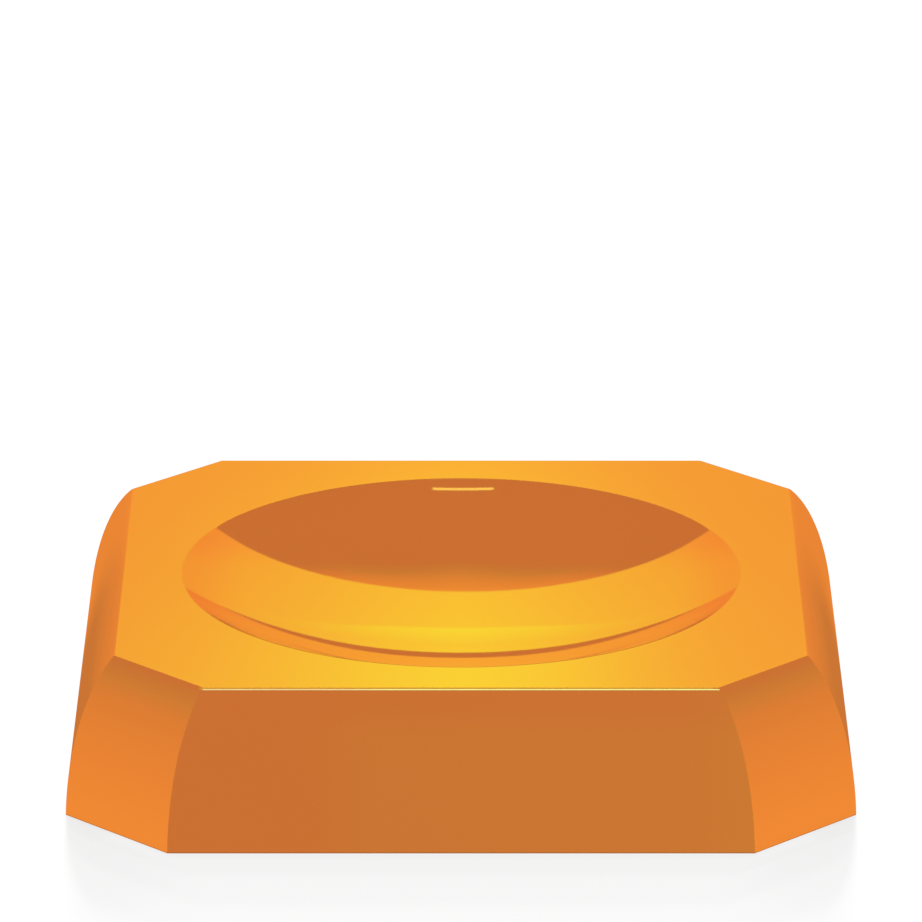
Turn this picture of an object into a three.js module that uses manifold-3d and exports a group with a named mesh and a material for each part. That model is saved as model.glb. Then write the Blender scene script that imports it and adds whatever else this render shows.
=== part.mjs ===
// Two-way raised pavement marker, 4 in x 4 in class.
// Square housing with cut corners, barrelled sides and a spherical dish in the deck;
// a retroreflective lens stack fills the whole front (-Y) and rear (+Y) face.
// Units: millimetres. +Z is up, the origin is the centre of the underside.

import * as THREE from 'three';
import { mergeVertices } from 'three/addons/utils/BufferGeometryUtils.js';
import Module from 'manifold-3d';

const wasm = await Module();
wasm.setup();

// ---------------------------------------------------------------- driving dimensions

const BASE_WIDTH = 101.6;        // across the flats at the ground, 4 in
const HEIGHT = 20.1;             // ground to deck
const CORNER_RATIO = 0.2653;     // corner cut leg / half width, the same at every height
const SIDE_DRAFT = 0.025;        // straight draft of every side wall, mm per mm of height
const SIDE_ARC_IN = 9.74;        // elliptical barrel of the side walls: reach inwards ...
const SIDE_ARC_UP = 22.0;        // ... and reach upwards

const DISH_RIM_R = 36.84;        // circle where the dish meets the deck
const DISH_SPHERE_R = 70.6;      // radius of the spherical dish

const WALL = 2.6;                // side walls of the housing
const DECK = 2.6;                // deck and dish skin
const FIT = 0.3;                 // clearance between neighbouring pieces

const LIP = 0.3;                 // blunt front edge of the deck above the lens stack
const LIP_SLOPE = 32;            // degrees, underside of the deck lip
const STACK_FOOT = 0.25;         // lens stack ends this far above the ground
const GLASS = 0.55;              // hard face sheet
const LENS = 3.0;                // amber lens, prisms included
const BACKING = 1.1;             // cell backing plate behind the prisms
const STACK = GLASS + FIT + LENS + FIT + BACKING;
const HOUSING_GAP = 1;           // extra depth cut into the housing behind the stack

const PRISM_PITCH = 2.0;         // horizontal prism rows on the back of the lens
const PRISM_DEPTH = 0.9;
const PRISM_LAND = 0.15;         // height left between neighbouring grooves
const PRISM_FOOT = 1.6;          // lower edge of the first groove
const PRISM_HEIGHT_MARGIN = 5.2; // part of the marker height not filled with rows
const PRISM_END_MARGIN = 4.2;    // from the corner edge to each end of a groove

const PAD_WIDTH = 88.9;          // butyl pad, 3.5 in
const PAD_THICK = 1.8;           // underside flush with the ground plane
const GRIT_THICK = 0.8;          // sand layer bedded in the potting

// mesh resolution
const SEGMENTS = 80;             // around the dish
const DISH_RINGS = 10;           // from the dish centre to the rim
const LEVELS = 12;               // up the side walls
const LEVEL_CROWDING = 1.45;     // above 1 packs the levels closer towards the top
const MERGE_TOLERANCE = 1e-4;

// overshoot of the cutting bodies past the material they cut
const OPEN_FOOT = -1;            // foot of the bodies that hollow the housing
const FILL_CUT_FOOT = -2;        // foot of the stack rooms cut from potting and sand
const ROOM_FRONT_OVER = 3;       // stack room in front of the face
const LAYER_ROOM_OVER = 2;       // stack room behind the stack, when trimming its layers
const DISH_SIDE_OVER = 5;        // dish body beyond its rim
const DISH_TOP_OVER = 12;        // dish body above the deck
const GROOVE_OVER = 0.6;         // groove body behind the lens

// ---------------------------------------------------------------- section of the housing

function halfWidth(z) {
  const height = Math.max(z, 0);
  const barrel = SIDE_ARC_IN * (1 - Math.sqrt(1 - (height / SIDE_ARC_UP) ** 2));
  return BASE_WIDTH / 2 - SIDE_DRAFT * height - barrel;
}

// x of the vertical edge where the front face meets the corner cut
const cornerX = (z) => halfWidth(z) * (1 - CORNER_RATIO);

const CORNER_TURN = Math.PI / 4;
const TAN_HALF_TURN = Math.tan(CORNER_TURN / 2);
const COS_HALF_TURN = Math.cos(CORNER_TURN / 2);

// heights of the loft rings from bottom to top
function levels(bottom, top) {
  const heights = [];
  for (let i = 0; i <= LEVELS; i++) {
    const share = 1 - (1 - i / LEVELS) ** LEVEL_CROWDING;
    heights.push(bottom + (top - bottom) * share);
  }
  return heights;
}

// square ring with cut corners, counter-clockwise seen from above
function octagon(half, cut, z) {
  const edge = half - cut;
  return [
    [half, -edge, z], [half, edge, z], [edge, half, z], [-edge, half, z],
    [-half, edge, z], [-half, -edge, z], [-edge, -half, z], [edge, -half, z],
  ];
}

const cutSquare = (half, z) => octagon(half, half * CORNER_RATIO, z);

// housing section moved inwards, measured square to each side
function octagonInset(z, inset) {
  const half = halfWidth(z);
  const halfSide = half - half * CORNER_RATIO - inset * TAN_HALF_TURN;
  return octagon(half - inset, (half - inset) - halfSide, z);
}

// ---------------------------------------------------------------- geometry helpers

function solid(source) {
  source.deleteAttribute('normal');
  source.deleteAttribute('uv');
  const merged = mergeVertices(source, MERGE_TOLERANCE);
  const index = merged.index.array;
  // merging leaves collapsed triangles, such as those at the poles of a lathe
  const triangles = [];
  for (let i = 0; i < index.length; i += 3) {
    const [a, b, c] = index.slice(i, i + 3);
    if (a !== b && b !== c && c !== a) triangles.push(a, b, c);
  }
  return new wasm.Manifold(new wasm.Mesh({
    numProp: 3,
    vertProperties: new Float32Array(merged.attributes.position.array),
    triVerts: new Uint32Array(triangles),
  }));
}

// closed solid through convex rings of equal point count; each ring runs
// counter-clockwise seen from the last ring's end
function loft(rings) {
  const count = rings[0].length;
  const triangles = [];
  for (let k = 0; k + 1 < rings.length; k++) {
    for (let i = 0; i < count; i++) {
      const here = k * count + i;
      const next = k * count + ((i + 1) % count);
      triangles.push(here, next, next + count, here, next + count, here + count);
    }
  }
  const last = (rings.length - 1) * count;
  for (let i = 1; i + 1 < count; i++) {
    triangles.push(0, i + 1, i);
    triangles.push(last, last + i, last + i + 1);
  }
  const geometry = new THREE.BufferGeometry();
  geometry.setAttribute('position', new THREE.Float32BufferAttribute(rings.flat(2), 3));
  geometry.setIndex(triangles);
  return solid(geometry);
}

// box centred on the Z axis
function boxGeometry(sizeX, sizeY, bottom, top) {
  const geometry = new THREE.BoxGeometry(sizeX, sizeY, top - bottom);
  return geometry.translate(0, 0, (bottom + top) / 2);
}

function toGeometry(manifold) {
  const mesh = manifold.getMesh();
  const geometry = new THREE.BufferGeometry();
  const positions = new Float32Array(mesh.vertProperties);
  geometry.setAttribute('position', new THREE.BufferAttribute(positions, 3));
  geometry.setIndex(new THREE.BufferAttribute(new Uint32Array(mesh.triVerts), 1));
  geometry.computeVertexNormals();
  return geometry;
}

// turns a front piece into its rear twin
const rear = (manifold) => manifold.rotate([0, 0, 180]);

// ---------------------------------------------------------------- tool bodies

// lower cap of a sphere about the dish centre, carried up past the deck
function dishBody(radius) {
  const centreZ = HEIGHT + Math.sqrt(DISH_SPHERE_R ** 2 - DISH_RIM_R ** 2);
  const onSphere = (angle) =>
    new THREE.Vector2(radius * Math.sin(angle), centreZ - radius * Math.cos(angle));

  const rimAngle = Math.asin(DISH_RIM_R / DISH_SPHERE_R);
  const outerR = DISH_RIM_R * (radius / DISH_SPHERE_R) + DISH_SIDE_OVER;
  const profile = [];
  for (let i = 0; i <= DISH_RINGS; i++) profile.push(onSphere((rimAngle * i) / DISH_RINGS));
  const outer = onSphere(Math.asin(outerR / radius));
  profile.push(
    outer,
    new THREE.Vector2(outer.x, HEIGHT + DISH_TOP_OVER),
    new THREE.Vector2(0, HEIGHT + DISH_TOP_OVER),
  );
  return solid(new THREE.LatheGeometry(profile, SEGMENTS).rotateX(Math.PI / 2));
}

// the housing's outer form without the dish, moved in Y
function envelope(shiftY = 0) {
  const rings = levels(0, HEIGHT).map((z) => cutSquare(halfWidth(z), z));
  return loft(rings.map((ring) => ring.map(([x, y, z]) => [x, y + shiftY, z])));
}

// hollow of the housing, shrunk on its walls and ceiling by the clearance
function cavity(clearance) {
  const rings = levels(OPEN_FOOT, HEIGHT - DECK - clearance)
    .map((z) => octagonInset(z, WALL + clearance));
  return loft(rings).subtract(dishBody(DISH_SPHERE_R + DECK + clearance));
}

// everything above the underside of the deck lip, which drops towards the inside
function aboveLip(gap) {
  const slab = boxGeometry(160, 80, 0, 40);
  slab.rotateX(-THREE.MathUtils.degToRad(LIP_SLOPE));
  slab.translate(0, -halfWidth(HEIGHT - LIP), HEIGHT - LIP - gap);
  return solid(slab);
}

// room taken by the front lens stack: mitred at the corner edges and under the deck lip
function stackRoom(gap, depth, foot) {
  const rings = levels(foot, HEIGHT).map((z) => {
    const face = halfWidth(z);
    const side = cornerX(z) - gap / COS_HALF_TURN;
    const frontX = side + ROOM_FRONT_OVER * TAN_HALF_TURN;
    const backX = side - depth * TAN_HALF_TURN;
    const frontY = -(face + ROOM_FRONT_OVER);
    const backY = -(face - depth);
    return [[-frontX, frontY, z], [frontX, frontY, z], [backX, backY, z], [-backX, backY, z]];
  });
  return loft(rings).subtract(aboveLip(gap));
}

// cuts the front and rear stack rooms from a body
function cutStackRooms(body, depth, foot) {
  const room = stackRoom(0, depth, foot);
  return body.subtract(room).subtract(rear(room));
}

// ---------------------------------------------------------------- housing

function makeHousing() {
  const shell = envelope().subtract(dishBody(DISH_SPHERE_R)).subtract(cavity(0));
  return cutStackRooms(shell, STACK + HOUSING_GAP, OPEN_FOOT);
}

// ---------------------------------------------------------------- lens stack

// sheet that follows the front face, starting a given depth behind it
function stackLayer(depth, thickness) {
  return envelope(depth)
    .subtract(envelope(depth + thickness))
    .intersect(stackRoom(FIT, STACK + LAYER_ROOM_OVER, STACK_FOOT));
}

const LENS_DEPTH = GLASS + FIT;
const BACKING_DEPTH = LENS_DEPTH + LENS + FIT;

// triangular bar that cuts one groove, lying along X with its apex to the front
function grooveBody(bottom) {
  const top = bottom + PRISM_PITCH - PRISM_LAND;
  const middle = (bottom + top) / 2;
  const lensBack = (z) => -halfWidth(z) + LENS_DEPTH + LENS;
  const endX = cornerX(middle) - PRISM_END_MARGIN;
  return loft([-endX, endX].map((x) => [
    [x, lensBack(bottom) + GROOVE_OVER, bottom],
    [x, lensBack(top) + GROOVE_OVER, top],
    [x, lensBack(middle) - PRISM_DEPTH, middle],
  ]));
}

function makeLens() {
  let lens = stackLayer(LENS_DEPTH, LENS);
  const rows = Math.floor((HEIGHT - PRISM_HEIGHT_MARGIN) / PRISM_PITCH);
  for (let i = 0; i < rows; i++) {
    lens = lens.subtract(grooveBody(PRISM_FOOT + i * PRISM_PITCH));
  }
  return lens;
}

// ---------------------------------------------------------------- potting, sand and pad

const GRIT_FLOOR = PAD_THICK + FIT;
const GRIT_TOP = GRIT_FLOOR + GRIT_THICK;

function makePotting() {
  const belowPotting = solid(boxGeometry(120, 120, -5, GRIT_TOP + FIT));
  return cutStackRooms(cavity(FIT), STACK + FIT, FILL_CUT_FOOT).subtract(belowPotting);
}

function makeGrit() {
  const sheet = loft([GRIT_FLOOR, GRIT_TOP].map((z) => octagonInset(z, WALL + FIT)));
  return cutStackRooms(sheet, STACK + FIT, FILL_CUT_FOOT);
}

const makePad = () => loft([0, PAD_THICK].map((z) => cutSquare(PAD_WIDTH / 2, z)));

// ---------------------------------------------------------------- materials

const MATERIALS = {
  housing: { color: 0xf0922f, roughness: 0.12, metalness: 0.35 },
  face: { color: 0xc97133, roughness: 0.05, metalness: 0.2 },
  lens: { color: 0xd87a28, roughness: 0.08, metalness: 0.1 },
  backing: { color: 0xb9bcc0, roughness: 0.3, metalness: 0.8 },
  potting: { color: 0x8b8478, roughness: 0.8, metalness: 0 },
  sand: { color: 0xa79b84, roughness: 0.95, metalness: 0 },
  butyl: { color: 0x1d1d1f, roughness: 0.6, metalness: 0 },
};

// ---------------------------------------------------------------- scene graph

const marker = new THREE.Group();

function add(name, manifold, finish) {
  const material = new THREE.MeshStandardMaterial(MATERIALS[finish]);
  const mesh = new THREE.Mesh(toGeometry(manifold), material);
  mesh.name = name;
  marker.add(mesh);
}

add('body_shell', makeHousing(), 'housing');

const stack = [
  ['lens_face', stackLayer(0, GLASS), 'face'],
  ['lens', makeLens(), 'lens'],
  ['cell_backing', stackLayer(BACKING_DEPTH, BACKING), 'backing'],
];
for (const [name, piece, finish] of stack) add(`front_${name}`, piece, finish);
for (const [name, piece, finish] of stack) add(`rear_${name}`, rear(piece), finish);

add('potting_core', makePotting(), 'potting');
add('base_sand_layer', makeGrit(), 'sand');
add('adhesive_pad', makePad(), 'butyl');

export default marker;
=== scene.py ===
"""An amber marker, eight-sided in plan, standing on the ground (z = 0) and centred on the z axis.

Its flat deck holds a round dish. Windows in the front (-Y) and rear (+Y) walls hold the lens
faces. Underneath are a bed of sand and a butyl pad. The studio turns with the camera: "right"
and "ahead" are horizontal directions as seen along the camera's heading.
"""
import math
from collections import namedtuple

import bpy
import numpy as np
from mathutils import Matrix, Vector, noise


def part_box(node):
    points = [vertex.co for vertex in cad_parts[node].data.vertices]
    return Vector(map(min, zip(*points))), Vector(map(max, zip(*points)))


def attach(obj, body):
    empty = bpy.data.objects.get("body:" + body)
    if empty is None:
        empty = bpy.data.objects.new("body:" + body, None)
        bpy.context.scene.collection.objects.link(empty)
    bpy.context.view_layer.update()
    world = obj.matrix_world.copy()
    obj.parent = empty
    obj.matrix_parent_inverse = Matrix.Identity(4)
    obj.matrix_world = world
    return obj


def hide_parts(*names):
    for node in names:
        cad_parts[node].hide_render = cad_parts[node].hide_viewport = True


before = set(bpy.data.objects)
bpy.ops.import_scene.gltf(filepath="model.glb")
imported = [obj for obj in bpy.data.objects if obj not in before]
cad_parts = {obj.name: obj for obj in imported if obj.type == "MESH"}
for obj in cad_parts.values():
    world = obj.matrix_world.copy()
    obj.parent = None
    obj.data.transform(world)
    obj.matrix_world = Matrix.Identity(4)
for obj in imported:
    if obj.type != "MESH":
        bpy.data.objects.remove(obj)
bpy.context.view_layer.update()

# ------------------------------------------------------------------ sizes

DRAWN_HALF_WIDTH = 0.0508
_, shell_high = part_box("body_shell")
BASE_HALF = shell_high.x              # half width at the ground
H = shell_high.z                      # deck height
SCALE = BASE_HALF / DRAWN_HALF_WIDTH  # 1.0 at the drawn size
MM = 0.001 * SCALE                    # a millimetre of the drawn size

CORNER = 0.2653                       # corner cut leg / half width
DRAFT = 0.025                         # straight lean of the walls
ARC_IN = 9.74 * MM                    # the walls also curve in along an ellipse:
ARC_UP = 22.0 * MM                    # its half width and half height
RIM_R = 36.84 * MM                    # dish rim
BALL_R = 70.6 * MM                    # dish sphere
BALL_Z = H + math.sqrt(BALL_R ** 2 - RIM_R ** 2)
WALL = 2.6 * MM
LIP = 0.098 * MM                      # visible edge of the deck over a lens face
LIP_SLOPE = math.radians(32)
TAN8 = math.tan(math.pi / 8)

EDGE = 0.08 * MM                      # rounding between wall and deck
FOOT = 0.05 * MM                      # rounding at the ground
DECK_HALF_INSET = EDGE * 3.2          # from the wall to the flat of the deck
RIM_EASE = 0.06 * MM                  # rounding inside the dish rim
RIM_OUT = 0.24 * MM                   # rounding outside the dish rim
DISH_EDGE = RIM_R - RIM_EASE          # where the dish proper starts

FACE_T = 0.55 * MM                    # lens face thickness
FACE_FOOT = 0.02 * MM                 # gap under a lens face
FACE_SEAM = 0.006 * MM                # seam at its mitred edges
STRIP = 0.12 * MM                     # height of its top edge strip, coloured as a painted highlight


def half_width(z):
    z = np.clip(z, 0.0, H)
    return BASE_HALF - DRAFT * z - ARC_IN * (1 - np.sqrt(1 - (z / ARC_UP) ** 2))


def wall_slope(z):
    """Change of half width with height, negative."""
    z = np.clip(z, 0.0, H)
    return -DRAFT - ARC_IN * (z / ARC_UP ** 2) / np.sqrt(1 - (z / ARC_UP) ** 2)


# ------------------------------------------------------------------ mesh helpers

def make_mesh(name, verts, faces, mats, face_mat=None, loop_normals=None, smooth=None):
    """Mesh object in the scene; every face is smooth unless flags are given."""
    me = bpy.data.meshes.new(name)
    me.from_pydata([tuple(map(float, v)) for v in verts], [],
                   [tuple(map(int, f)) for f in faces])
    for mat in mats:
        me.materials.append(mat)
    if face_mat is not None:
        me.polygons.foreach_set("material_index", np.array(face_mat, np.int32))
    flags = np.ones(len(me.polygons), bool) if smooth is None else np.array(smooth, bool)
    me.polygons.foreach_set("use_smooth", flags)
    me.update()
    if loop_normals is not None:
        me.normals_split_custom_set([tuple(map(float, n)) for n in loop_normals])
    ob = bpy.data.objects.new(name, me)
    bpy.context.scene.collection.objects.link(ob)
    return ob


def point_attribute(ob, name, values):
    ob.data.attributes.new(name, "FLOAT", "POINT").data.foreach_set("value", values)


def register(ob, node):
    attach(ob, "root")
    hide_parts(node)


def unit(v):
    v = np.asarray(v, float)
    return v / max(np.linalg.norm(v), 1e-12)


def bezier(a, b, c, steps):
    a, b, c = np.array(a), np.array(b), np.array(c)
    ts = [i / steps for i in range(steps + 1)]
    return [(1 - t) ** 2 * a + 2 * t * (1 - t) * b + t * t * c for t in ts]


def eased(low, high, steps, power):
    """Heights from low to high, closer together near high."""
    return [low + (high - low) * (1 - (1 - i / steps) ** power) for i in range(steps + 1)]


class Builder:
    """Collects faces with a normal for each corner, sharing vertices by key."""

    def __init__(self):
        self.verts, self.index = [], {}
        self.faces, self.normals, self.mats, self.smooth = [], [], [], []

    def vert(self, key, co):
        if key not in self.index:
            self.index[key] = len(self.verts)
            self.verts.append(co)
        return self.index[key]

    def face(self, ids, normals=None, mat=0):
        """Add a face, dropping repeated corners. Without normals it is flat."""
        keep = [i for i in range(len(ids)) if ids[i] != ids[i - 1]]
        if len(keep) < 3:
            return
        kept = [ids[i] for i in keep]
        if normals is None:
            p = [np.array(self.verts[i]) for i in kept]
            total = np.zeros(3)
            for a in range(len(p)):
                total += np.cross(p[a] - p[0], p[(a + 1) % len(p)] - p[0])
            self.normals += [unit(total)] * len(kept)
        else:
            self.normals += [unit(normals[i]) for i in keep]
        self.faces.append(kept)
        self.smooth.append(normals is not None)
        self.mats.append(mat)

    def build(self, name, mats):
        return make_mesh(name, self.verts, self.faces, mats, self.mats, self.normals, self.smooth)


# ------------------------------------------------------------------ node helpers

class Nodes:
    """Short calls for building a node tree. Inputs may be sockets or plain values."""

    def __init__(self, tree):
        self.tree = tree
        tree.nodes.clear()

    def new(self, kind, **settings):
        node = self.tree.nodes.new(kind)
        for key, value in settings.items():
            setattr(node, key, value)
        return node

    def put(self, socket, value):
        if isinstance(value, bpy.types.NodeSocket):
            self.tree.links.new(value, socket)
        else:
            socket.default_value = value

    def math(self, operation, *values, clamp=False):
        node = self.new("ShaderNodeMath", operation=operation, use_clamp=clamp)
        for socket, value in zip(node.inputs, values):
            self.put(socket, value)
        return node.outputs[0]

    def add(self, a, b):
        return self.math("ADD", a, b)

    def sub(self, a, b):
        return self.math("SUBTRACT", a, b)

    def mul(self, a, b):
        return self.math("MULTIPLY", a, b)

    def div(self, a, b):
        return self.math("DIVIDE", a, b)

    def mul_add(self, a, b, c):
        return self.math("MULTIPLY_ADD", a, b, c)

    def max(self, a, b):
        return self.math("MAXIMUM", a, b)

    def abs(self, a):
        return self.math("ABSOLUTE", a)

    def one_minus(self, a, clamp=False):
        return self.math("SUBTRACT", 1.0, a, clamp=clamp)

    def smooth(self, x, over, to=(0.0, 1.0), kind="SMOOTHSTEP"):
        """Takes x over one range to another, clamped."""
        node = self.new("ShaderNodeMapRange", interpolation_type=kind, clamp=True)
        names = ("Value", "From Min", "From Max", "To Min", "To Max")
        for name, value in zip(names, (x, *over, *to)):
            self.put(node.inputs[name], value)
        return node.outputs["Result"]

    def linear(self, x, over, to=(0.0, 1.0)):
        return self.smooth(x, over, to, kind="LINEAR")

    def ramp(self, x, stops):
        """Stops are (position 0..1, grey value or colour)."""
        node = self.new("ShaderNodeValToRGB")
        elements = node.color_ramp.elements
        while len(elements) > 1:
            elements.remove(elements[-1])
        for i, (position, c) in enumerate(stops):
            element = elements[0] if i == 0 else elements.new(position)
            element.position = position
            element.color = (*c, 1) if isinstance(c, tuple) else (c, c, c, 1)
        self.put(node.inputs["Fac"], x)
        return node.outputs["Color"]

    def combine(self, *channels):
        node = self.new("ShaderNodeCombineColor")
        for socket, value in zip(node.inputs, channels):
            self.put(socket, value)
        return node.outputs[0]

    def scaled(self, colour, factor):
        return self.combine(*[self.mul(channel, factor) for channel in colour])

    def split(self, socket, kind="ShaderNodeSeparateXYZ"):
        node = self.new(kind)
        self.put(node.inputs[0], socket)
        return list(node.outputs)

    def noise(self, vec, scale, detail, rough):
        node = self.new("ShaderNodeTexNoise")
        for name, value in (("Vector", vec), ("Scale", scale), ("Detail", detail),
                            ("Roughness", rough)):
            self.put(node.inputs[name], value)
        return node.outputs["Fac"]

    def mottle(self, vec, scale, detail, rough, to):
        """Noise spread over a range of values."""
        return self.linear(self.noise(vec, scale, detail, rough), over=(0.3, 0.7), to=to)

    def bump(self, height, strength, distance):
        node = self.new("ShaderNodeBump")
        node.inputs["Strength"].default_value = strength
        node.inputs["Distance"].default_value = distance
        self.put(node.inputs["Height"], height)
        return node.outputs["Normal"]

    def attribute(self, name):
        return self.new("ShaderNodeAttribute", attribute_name=name).outputs["Fac"]

    def object_coords(self):
        return self.new("ShaderNodeTexCoord").outputs["Object"]

    def camera_axis(self, *axis):
        """A camera axis in world x, y, z."""
        node = self.new("ShaderNodeVectorTransform", vector_type="VECTOR",
                        convert_from="CAMERA", convert_to="WORLD")
        node.inputs[0].default_value = axis
        return self.split(node.outputs[0])

    def ahead(self, x, y, right_axis):
        return self.sub(self.mul(y, right_axis[0]), self.mul(x, right_axis[1]))

    def heading(self, x, y):
        """Turns x, y into right and ahead as seen from the camera's heading."""
        axis = self.camera_axis(1, 0, 0)
        right = self.add(self.mul(x, axis[0]), self.mul(y, axis[1]))
        return right, self.ahead(x, y, axis)

    def principled(self, colour, roughness, specular):
        node = self.new("ShaderNodeBsdfPrincipled")
        self.put(node.inputs["Base Color"], colour)
        self.put(node.inputs["Roughness"], roughness)
        node.inputs["Specular IOR Level"].default_value = specular
        return node

    def mix(self, factor, a, b):
        node = self.new("ShaderNodeMixShader")
        for socket, value in zip(node.inputs, (factor, a, b)):
            self.put(socket, value)
        return node.outputs[0]

    def out(self, shader, kind="ShaderNodeOutputMaterial"):
        self.put(self.new(kind).inputs["Surface"], shader)


def material(name):
    m = bpy.data.materials.new(name)
    m.use_nodes = True
    return m, Nodes(m.node_tree)


# ------------------------------------------------------------------ amber moulding

BODY = (0.597, 0.165, 0.0331)          # body colour under an even white sky
MIRROR = 0.385                         # share of the tinted surface reflection
WALL_RED, WALL_GREEN = 0.345, 0.112    # that reflection on the walls


def srgb_to_linear(n, value):
    """For values well above black."""
    return n.math("POWER", n.div(n.add(value, 0.055), 1.055), 2.4)


def painted_olive_light(n, right, z):
    """Painted light: extra green in the lens body colour, from the middle to the right as seen from
    the camera.
    """
    low_middle = n.mul(n.smooth(right, over=(-22 * MM, -10 * MM)),
                       n.smooth(z, over=(14.5 * MM, 18.5 * MM), to=(1.0, 0.25)))
    amount = n.add(low_middle, n.smooth(right, over=(27 * MM, 37 * MM), to=(0.0, 0.8)))
    return n.mul_add(amount, 0.025, BODY[1] / (1 - MIRROR))


def deck_reflection(n, right, ahead, dish):
    """Painted glow 0..1 and green of the reflection tint: a painted highlight, yellower over the
    middle of the deck as seen from the camera.
    """
    edge_green = 0.6
    middle_green = n.ramp(n.linear(ahead, over=(-50 * MM, 50 * MM)),
                          [(0.0, 0.81), (0.25, 0.815), (0.55, 0.777), (0.79, 0.726), (1.0, 0.682)])
    # distance to the side, stretched further ahead
    stretch = n.mul_add(n.add(ahead, 37 * MM), 4.5 / SCALE, 1.0)
    aside = n.linear(n.mul(n.abs(right), stretch), over=(0.0, 60 * MM))
    painted_glow = n.ramp(aside, [(0.0, 1.0), (0.04, 0.982), (0.183, 0.84), (0.383, 0.56),
                            (0.583, 0.315), (0.80, 0.14), (1.0, 0.02)])
    # less yellow towards the right of the flat deck, and just inside the sides of the dish
    loss = n.mul(n.one_minus(dish), n.smooth(right, over=(10 * MM, 40 * MM), to=(0.0, 0.42)))
    painted_glow = n.mul(painted_glow, n.one_minus(loss))
    green = n.mul_add(n.sub(middle_green, edge_green), painted_glow, edge_green)
    green = n.sub(srgb_to_linear(n, green), BODY[1])
    loss = n.mul(dish, n.smooth(n.abs(right), over=(28 * MM, 35.5 * MM), to=(0.0, 0.25)))
    return painted_glow, n.mul(green, n.one_minus(loss))


def painted_rim_shade(n, right, ahead):
    """Painted shade: a thin dark line on the near side of the rolled rim, gone at the middle and
    far sides.
    """
    line = n.attribute("rim_line")
    aside = n.abs(right)
    line = n.mul(line, n.mul(n.smooth(aside, over=(5 * MM, 13 * MM)),
                             n.smooth(aside, over=(30 * MM, 34.5 * MM), to=(1.0, 0.0))))
    line = n.mul(line, n.smooth(ahead, over=(-14 * MM, -9 * MM), to=(1.0, 0.0)))
    return n.mul_add(line, -0.38, 1.0)


def paint_flank_shade(n, red, green, z, ahead, deck):
    """Painted shade: walls that face sideways get a dimmer reflection tint low down towards the
    near end.
    """
    normal = n.split(n.new("ShaderNodeNewGeometry").outputs["Normal"])
    across, along = n.heading(normal[0], normal[1])
    level = n.math("SQRT", n.add(n.mul(across, across), n.mul_add(along, along, 1e-5)))
    flank = n.smooth(n.div(n.abs(across), level), over=(0.82, 0.96))
    if deck is not None:
        flank = n.mul(flank, n.one_minus(deck))
    far = n.smooth(ahead, over=(-6 * MM, 22 * MM))
    dimmed = []
    # channel, height it starts to brighten at, brightness below and at the top
    for channel, start, levels in ((red, 13.8 * MM, (0.0, 0.78)), (green, 13.0 * MM, (0.18, 0.74))):
        near = n.smooth(z, over=(start, 20.6 * MM), to=levels)
        kept = n.mul_add(n.one_minus(near), far, near)
        dimmed.append(n.mul(channel, n.one_minus(n.mul(flank, n.one_minus(kept)))))
    return dimmed


def amber(name, is_lens, rough):
    """Glossy amber moulding: a deep orange body under a coloured surface reflection."""
    m, n = material(name)
    vec = n.object_coords()
    x, y, z = n.split(vec)
    right, ahead = n.heading(x, y)
    # faint, slow colour drift, and a painted contact shade: a thin dark line where the moulding
    # meets the ground
    light = n.mottle(vec, scale=26.0 / SCALE, detail=2.0, rough=0.45, to=(0.99, 1.01))
    light = n.mul(light, n.smooth(z, over=(0.07 * MM, 0.17 * MM), to=(0.52, 1.0)))
    body_red, body_green, body_blue = [c / (1 - MIRROR) for c in BODY]
    if is_lens:
        body_green = painted_olive_light(n, right, z)
    else:
        # painted light: a brighter, yellower band in the body colour on the thin lip over the lens
        # faces
        lip = n.attribute("lip")
        body_green = n.mul_add(lip, 0.24, body_green)
        body_red = n.mul_add(lip, 0.05, body_red)
    # painted shade: the lens faces' shade attribute darkens a narrow line under the top edge strip
    light = n.mul(light, n.one_minus(n.attribute("shade")))
    if is_lens:
        deck, red, green = None, WALL_RED, WALL_GREEN
    else:
        dish = n.attribute("dish")
        painted_glow, green = deck_reflection(n, right, ahead, dish)
        # painted light: the dish body is 2.2% brighter, making up for the shade of the hollow
        light = n.mul(light, n.mul_add(dish, 0.022, 1.0))
        # painted shade line along the near side of the dish rim
        light = n.mul(light, painted_rim_shade(n, right, ahead))
        # past the deck edge the walls keep the plain orange reflection
        deck = n.attribute("deck")
        green = n.mul_add(n.sub(green, WALL_GREEN), deck, WALL_GREEN)
        red = n.mul_add(n.mul_add(painted_glow, 0.055, -0.035), deck, WALL_RED)
    # painted shade on the reflection tint of the sideways walls
    red, green = paint_flank_shade(n, red, green, z, ahead, deck)

    # seen in another part of the moulding, only the reflected studio shows
    path = n.new("ShaderNodeLightPath")
    second = path.outputs["Is Glossy Ray"]
    first = n.one_minus(second)
    tint_red = n.div(n.mul_add(second, BODY[0], red), MIRROR)
    deep = n.math("GREATER_THAN", path.outputs["Glossy Depth"], 1.5)
    tint_green = n.div(n.max(n.mul_add(second, BODY[1], green), n.mul(deep, 0.93)), MIRROR)
    tint = n.combine(tint_red, tint_green, n.mul_add(second, 0.8, 0.004))
    body = n.scaled((body_red, body_green, body_blue), n.mul(light, first))

    # polished finish with the faintest ripple
    ripple = n.bump(n.noise(vec, scale=160.0 / SCALE, detail=2.0, rough=0.5),
                    strength=0.010, distance=0.2 * MM)
    gloss = n.new("ShaderNodeBsdfGlossy")
    n.put(gloss.inputs["Color"], tint)
    n.put(gloss.inputs["Roughness"], n.mottle(vec, scale=55.0 / SCALE, detail=3.0, rough=0.6,
                                              to=(rough * 0.75, rough * 1.3)))
    n.put(gloss.inputs["Normal"], ripple)
    base = n.principled(body, roughness=0.5, specular=0.0)
    n.out(n.mix(MIRROR, base.outputs[0], gloss.outputs[0]))
    return m


# ------------------------------------------------------------------ other materials

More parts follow.
